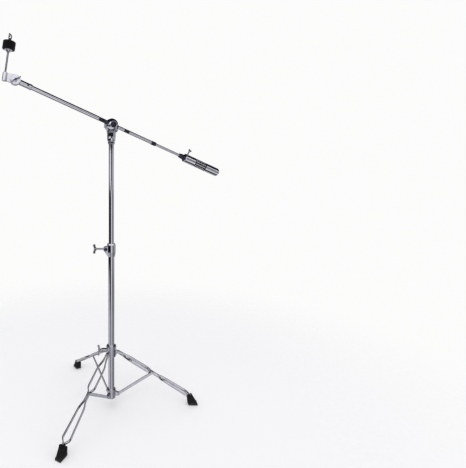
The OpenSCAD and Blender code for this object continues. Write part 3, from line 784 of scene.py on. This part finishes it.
def leg_strip(side, crown=0.75, across=10):
    """A strip bent along its path, a little domed across its width, with a round end at the hinge."""
    path = bend_round(LEG_PATH, 13, 7)
    path.insert(1, Vector((0.0, 4.4)))
    width, thick = 9.5, 2.0
    bm = bmesh.new()
    headings = []
    for i in range(len(path)):
        ahead, behind = path[min(i + 1, len(path) - 1)], path[max(i - 1, 0)]
        run = (ahead - behind).normalized()
        headings.append(Vector((-run.y, run.x)))
    chain = [bm.verts.new((p.x, p.y, -width / 2)) for p in path]
    edges = [bm.edges.new(pair) for pair in zip(chain, chain[1:])]
    for step in range(1, across + 1):
        grown = bmesh.ops.extrude_edge_only(bm, edges=edges)["geom"]
        verts = [v for v in grown if isinstance(v, bmesh.types.BMVert)]
        edges = [e for e in grown if isinstance(e, bmesh.types.BMEdge)]
        edges = [e for e in edges if e.verts[0] in verts and e.verts[1] in verts]
        bmesh.ops.translate(bm, vec=(0, 0, width / across), verts=verts)
    bmesh.ops.recalc_face_normals(bm, faces=bm.faces[:])
    bm.verts.ensure_lookup_table()
    # the dome across the width, and the round end
    for vert in bm.verts:
        near = min(range(len(path)), key=lambda i: (path[i] - Vector(vert.co.xy)).length)
        share = vert.co.z / (width / 2)
        rise = crown * (1 - share * share) - crown * 0.5
        calm = min(1.0, max(0.0, (vert.co.x - 8) / 14)) * min(1.0, max(0.0, (302 - vert.co.x) / 12))
        vert.co.xy += headings[near] * rise * calm
        if near == 0:
            vert.co.x = -math.sqrt(max(0.0, (width / 2) ** 2 - vert.co.z ** 2))
    if sum(f.normal.y for f in bm.faces) < 0:
        bmesh.ops.reverse_faces(bm, faces=bm.faces[:])
    bmesh.ops.translate(bm, vec=(0, thick / 2, 0), verts=bm.verts[:])
    bmesh.ops.solidify(bm, geom=bm.faces[:], thickness=thick)
    bmesh.ops.recalc_face_normals(bm, faces=bm.faces[:])
    soften(bm, 0.45, 60, 2)
    if side < 0:
        everything = bm.verts[:] + bm.edges[:] + bm.faces[:]
        bmesh.ops.mirror(bm, geom=everything, matrix=UPRIGHT, merge_dist=0, axis="Y")
        kept = [v for v in bm.verts if v.co.y > 0]
        bmesh.ops.delete(bm, geom=kept, context="VERTS")
        bmesh.ops.recalc_face_normals(bm, faces=bm.faces[:])
    return bm


def make_leg(letter, strip, rubber):
    for side, word in ((1, "left"), (-1, "right")):
        settle(leg_strip(side), f"leg_{letter}_{word}_strip", f"leg_{letter}", strip, on_leg(letter),
               [f"leg_{letter}_strip_{word}"], 60)
    rivets = bmesh.new()
    for side in (1, -1):
        rod(PIN_R, 3.4, 5.4, 0.1, 32, rivets, turn("X", -side * 90))
        dome_rivet(rivets, turn("X", -side * 90) @ move(0, 0, 5.4))
        dome_rivet(rivets, move(LINK, side * 4.1, 0) @ turn("X", -side * 90))
    rod(PIN_R, -4.1, 4.1, 0.1, 32, rivets, move(LINK, 0, 0) @ ALONG_Y)
    settle(rivets, f"leg_{letter}_rivet_set", f"leg_{letter}", strip, on_leg(letter),
           [f"leg_{letter}_rivets"], 40)
    make_foot(letter, rubber)


def make_foot(letter, rubber):
    """A moulded boot: a slim upper on a wider sole, with ridges down its flanks and treads below."""
    bm = bmesh.new()
    upper = [(274.5, 2), (306.5, 2), (307.6, 5), (293, 29.6), (287, 35.2), (274, 26.6), (272.9, 21)]
    slab(upper, 19.2, 2.2, 4, bm)
    sole = [(276, 1.2), (308, 1.2), (308.8, 4.6), (307.4, 8), (274.6, 8), (274.6, 5)]
    slab(sole, 21.8, 1.3, 3, bm)
    for i in range(6):
        tread = 279 + i * 5.2
        slab([(tread, 0), (tread + 3.4, 0), (tread + 3.4, 3), (tread, 3)], 20.4, 0.4, 1, bm)
    for i in range(4):
        foot, top = 279.5 + i * 6.4, 276.5 + i * 4.2
        high = 26 - abs(i - 1.6) * 2.5
        ridge = [(foot, 9), (foot + 2.4, 9), (top + 2.6, high), (top + 0.6, high)]
        slab(ridge, 21.2, 0.7, 2, bm)
    # the lip round the socket that takes the strips
    lip = [(273.2, 22), (277.6, 29.4), (289.2, 35.0), (291.6, 31.2), (276.4, 19.6)]
    slab(lip, 20.6, 1.0, 3, bm)
    bmesh.ops.transform(bm, matrix=Matrix.Scale(MM, 4) @ turn("Z", LEG_TURNS[letter]), verts=bm.verts[:])
    mesh = bpy.data.meshes.new("boot")
    bm.to_mesh(mesh)
    bm.free()
    done = skin_over(mesh, 0.6, 3)
    place_mesh(done, f"rubber_boot_{letter}", f"leg_{letter}", rubber, [f"foot_{letter}"], 0, False)


# ------------------------------------------------------------------ mast and boom tilter

def make_mast(chrome, cast_chrome, dark, nylon, strip):
    bush = lathe([(12.5, 561.1), (12.5, 571.5), (12.6, 573.1), (9.55, 573.1), (9.55, 561.1)], 0.4, True)
    settle(bush, "clamp_bush", "bush", nylon, UPRIGHT, ["mast_bush"])
    upper = tube(UPPER_TUBE_R, 8.1, 391, 972, 0.4)
    settle(upper, "upper_mast_tube", "upper_mast", chrome, UPRIGHT, ["upper_tube"])
    ring = lathe([(12.0, 935), (12.4, 935.8), (12.4, 943.7), (12.0, 944.5), (9.52, 944.5), (9.52, 935)], 0.35, True)
    for z in (938.2, 941.3):
        lathe([(12.3, z - 0.5), (12.3, z + 0.5), (12.39, z + 0.5), (12.39, z - 0.5)], 0, True, 96, ring)
    settle(ring, "neck_lock_ring", "upper_mast", cast_chrome, UPRIGHT, ["neck_ring"])
    screw = bmesh.new()
    rod(2.4, 0, 4, 0.2, 32, screw)
    head = bmesh.new()
    bmesh.ops.create_cube(head, size=1, matrix=Matrix.Diagonal((3.6, 3.6, 4, 1)))
    soften(head, 0.5)
    gather(head, screw, move(0, 0, 5.1))
    settle(screw, "neck_ring_key_screw", "upper_mast", dark,
           turn("Z", -62) @ move(9.5, 0, 939.8) @ ALONG_X, ["neck_ring_screw"])
    cast("tilter_base", "tilter_base_casting", "upper_mast", cast_chrome, 0.4, 4, TILT, None, fuller_neck)
    washer = lathe([(9, -17.1), (9, -15.1), (4.2, -15.1), (4.2, -17.1)], 0.35, True)
    settle(washer, "tilt_bolt_washer", "upper_mast", strip, ON_TILT, ["tilter_washer"])


def make_head(cast_chrome, dark):
    cast("tilter_head", "domed_head", "tilter", cast_chrome, 0.36, 5, BOOM)
    wound = bmesh.new()
    thread(wound, 4.0, 1.25, -27.6, -16, 0.35, ON_TILT)
    cast("eye_bolt", "boom_eye_bolt", "tilter", dark, 0.34, 3, BOOM, wound)
    cast("tilter_wing_nut", "boom_tilt_wing", "tilter_nut", cast_chrome, 0.36, 4, BOOM @ turn("Y", 35))


# ------------------------------------------------------------------ boom and counterweight

def make_boom(chrome, dark, plastic):
    sleeve = lathe([
        (6.42, -21), (8, -21), (8, 24), (7.1, 24), (7.1, 26.5), (6.6, 27.2), (6.6, 55.4), (7, 56.2),
        (7, 56.6), (6.42, 56.6),
    ], 0.25, True)
    knurled(6.98, 6.45, 28, 54.6, 36, 0.42, 34, sleeve, UPRIGHT, 60)
    settle(sleeve, "knurled_boom_sleeve", "sleeve", dark, ON_BOOM, ["boom_sleeve"])
    front = lathe([(7.5, 57), (7.5, 338), (6.35, 338), (6.35, 57)], 0.45, True)
    settle(front, "boom_front_tube", "boom", chrome, ON_BOOM, ["front_tube"])
    grooved = lathe([
        (5.05, -177), (ROD_R, -177), (ROD_R, -69), (5.75, -69), (5.75, -48), (ROD_R, -48), (ROD_R, 102), (5.05, 102),
    ], 0.12, True)
    settle(grooved, "boom_middle_rod", "boom", chrome, ON_BOOM, ["boom_rod"])
    band = lathe([(5.76, -68.9), (6.33, -68.9), (6.33, -48.1), (5.76, -48.1)], 0.15, True)
    for z in (-65.5, -51.5):
        lathe([(6.3, z - 0.4), (ROD_R, z - 0.2), (ROD_R, z + 0.2), (6.3, z + 0.4)], 0, True, 96, band)
    settle(band, "stop_mark_band", "boom", plastic, ON_BOOM, ["mark_ring"])
    collar = lathe([
        (0, -187), (6.9, -187), (7.45, -186.2), (7.45, -183.6), (7.0, -183.2), (7.0, -171), (7.45, -170.6),
        (7.45, -167.6), (6.9, -167), (ROD_R, -167), (0, -167),
    ], 0.2)
    knurled(7.42, 6.8, -183, -171.2, 40, 0.45, 15, collar, UPRIGHT, 30)
    settle(collar, "knurled_rod_joint", "boom", dark, ON_BOOM, ["rod_collar"])
    settle(rod(5, -487, -152, 0.8, 64), "boom_thin_rod", "boom", chrome, ON_BOOM, ["thin_rod"])


def make_weight(chrome, cast_chrome, dark, plastic):
    body = lathe([
        (5.05, 0), (14.6, 0), (16.2, 1.6), (16.2, 13.2), (15.75, 13.8), (15.75, 15.2), (16.2, 15.8),
        (16.2, 48), (14.7, 48),
        (14.7, 102), (16.2, 102), (16.2, 150.4), (15.75, 151), (15.75, 152.4), (16.2, 153), (16.2, 164),
        (13.6, 168), (5.05, 168),
    ], 0.35, True, 128)
    settle(body, "counterweight_body", "weight", chrome, ON_WEIGHT, ["counterweight"])
    grip = bmesh.new()
    fluted(15.1, 48.1, 101.9, 60, 0.3, grip)
    settle(grip, "counterweight_grip", "weight", plastic, ON_WEIGHT, ["weight_grip"], 30)
    ribs = bmesh.new()
    for i in range(10):
        rib = lathe([(0, 50.2), (2.2, 52.6), (2.35, 56), (2.35, 94), (2.2, 97.4), (0, 99.8)], 0.2, False, 24)
        bmesh.ops.transform(rib, matrix=Matrix.Diagonal((0.55, 1, 1, 1)), verts=rib.verts[:])
        gather(rib, ribs, turn("Z", 36 * i + 8) @ move(14.85, 0, 0))
    settle(ribs, "counterweight_grip_ribs", "weight", cast_chrome, ON_WEIGHT)
    neck = lathe([
        (5.06, -25), (7.2, -25), (8.2, -24), (8.2, -21.6), (7.8, -21.2), (7.8, -20.2), (8.5, -19.6), (9.6, -13),
        (9.6, -4), (9.2, -3.4), (9.2, -2.2), (9.6, -1.6), (9.6, 0), (5.06, 0),
    ], 0.3, True)
    settle(neck, "counterweight_neck", "weight", dark, ON_WEIGHT, ["weight_neck"])
    across = ON_WEIGHT @ move(0, 0, 7) @ turn("Z", -155) @ ALONG_X
    wound = bmesh.new()
    thread(wound, 3.1, 1.0, 16.6, 28, 0.3, across)
    cast("weight_wing_screw", "weight_thumb_screw", "weight_screw", cast_chrome, 0.3, 4, across, wound)


# ------------------------------------------------------------------ cymbal seat

def make_seat(zinc, cast_chrome, dark, strip, plastic, felt):
    cast("cymbal_tilter_rear", "cymbal_tilter_socket", "boom", cast_chrome, 0.38, 4, BOOM)
    cast("cymbal_tilter_front", "cymbal_tilter_arm", "seat", cast_chrome, 0.38, 4, SEAT)
    cast("cymbal_tilter_wing_nut", "cymbal_tilter_wing", "seat_nut", cast_chrome, 0.34, 4,
         SEAT @ turn("Y", WING_TURN))
    wound = bmesh.new()
    thread(wound, 3.0, 1.0, 10, 19.8, 0.3, BOOM @ move(SEAT_REACH, BOOM_OFF, 0) @ ALONG_Y)
    cast("cymbal_tilter_bolt", "cymbal_tilter_hex_bolt", "boom", dark, 0.3, 3, BOOM, wound)
    screw = bmesh.new()
    rod(2.2, 0, 2, 0.1, 32, screw)
    lathe([(0, 1.9), (3, 1.9), (3, 2.3), (2.3, 3.2), (1.5, 3.25), (1.3, 2.4), (0, 2.4)], 0.12, False, 32, screw)
    settle(screw, "socket_grub_screw", "boom", dark,
           BOOM @ move(320, BOOM_OFF + 7.5, 0) @ ALONG_Y, ["cymbal_tilter_screw"])
    post = bmesh.new()
    rod(POST_R, -12, 24, 0.5, 48, post)
    rod(2.68, 23, 140.2, 0.6, 48, post)
    rod(POST_R, 30, 84, 0.4, 48, post)
    thread(post, POST_R, 1.0, 84, 139.8, 0.3)
    thread(post, POST_R, 1.0, 18, 31, 0.3)
    settle(post, "cymbal_post_rod", "seat", zinc, POST, ["cymbal_post"])
    cup = lathe([
        (3.02, 82), (6, 82), (6.3, 83), (8, 87.6), (12.2, 87.8), (13, 88.3), (13, 89.4), (12.4, 89.9), (3.02, 89.9),
    ], 0.25, True)
    settle(cup, "felt_cup_washer", "seat", strip, POST, ["cup_washer"])
    liner = lathe([(3.02, 90), (4.6, 90), (4.6, 124.8), (4.2, 125.2), (3.02, 125.2)], 0.2, True)
    settle(liner, "post_liner", "seat", plastic, POST, ["post_sleeve"])
    make_felt_disc("lower_felt_disc", "lower_felt", 90, felt, 3)
    make_felt_disc("upper_felt_disc", "upper_felt", 103, felt, 8)
    cast("cymbal_wing_nut", "cymbal_top_wing", "cymbal_nut", cast_chrome, 0.32, 4, POST @ turn("Z", 60))


def make_felt_disc(name, node, low, felt, seed):
    """A pressed felt washer: flat faces, a crisp but uneven rim and loose fibres."""
    high = low + FELT_HIGH
    draw = random.Random(seed)
    bm = lathe([
        (4.75, low + 0.4), (5.4, low + 0.04), (12, low + 0.02), (18.4, low + 0.06), (19.5, low + 0.55),
        (FELT_R, low + 2.2),
        (19.78, low + 6.4), (FELT_R, high - 2.2), (19.5, high - 0.55), (18.4, high - 0.06), (12, high - 0.02),
        (5.4, high - 0.04), (4.75, high - 0.4),
    ], 0, True, 120)
    bmesh.ops.subdivide_edges(bm, edges=bm.edges[:], cuts=2, use_grid_fill=True)
    bmesh.ops.smooth_vert(bm, verts=bm.verts[:], factor=0.5, use_axis_x=True, use_axis_y=True, use_axis_z=True)
    for vert in bm.verts:
        out = Vector((vert.co.x, vert.co.y, 0)).normalized()
        lump = noise.noise(vert.co * 0.35 + Vector((seed, 0, 0))) * 0.20 + noise.noise(vert.co * 1.6) * 0.12
        if vert.co.xy.length > 6:
            vert.co += out * min(0.05, lump)
    for i in range(FELT_FIBRES):
        around = draw.uniform(0, 2 * math.pi)
        high_up = draw.uniform(low + 0.8, high - 0.8)
        away = turn("Z", math.degrees(around)) @ move(19.5, 0, high_up)
        lean = turn("Y", 90 + draw.uniform(-75, 75)) @ turn("X", draw.uniform(-75, 75))
        long = draw.uniform(0.7, 1.9)
        bmesh.ops.create_cone(
            bm, cap_ends=True, segments=3, radius1=0.075, radius2=0.03, depth=long,
            matrix=away @ lean @ move(0, 0, long / 2 - 0.3),
        )
    ob = settle(bm, name, "seat", felt, POST, [node], 0, False)


def main():
    bpy.context.scene.view_settings.view_transform = "Standard"
    set_camera()
    set_world()
    set_lights()
    set_floor()
    chrome, cast_chrome, strip = make_chrome(), make_cast_chrome(), make_strip_chrome()
    dark, rubber, felt = make_dark_steel(), make_rubber(), make_felt()
    nylon, plastic = make_nylon(), make_plastic()
    make_base(chrome, cast_chrome, dark, plastic, strip)
    make_wing_bolts(cast_chrome)
    make_spider(cast_chrome, strip)
    for letter in LEG_TURNS:
        make_strut(letter, strip)
        make_leg(letter, strip, rubber)
    make_mast(chrome, cast_chrome, dark, nylon, strip)
    make_head(cast_chrome, dark)
    make_boom(chrome, dark, plastic)
    make_weight(chrome, cast_chrome, dark, plastic)
    make_seat(make_zinc(), cast_chrome, dark, strip, plastic, felt)


main()
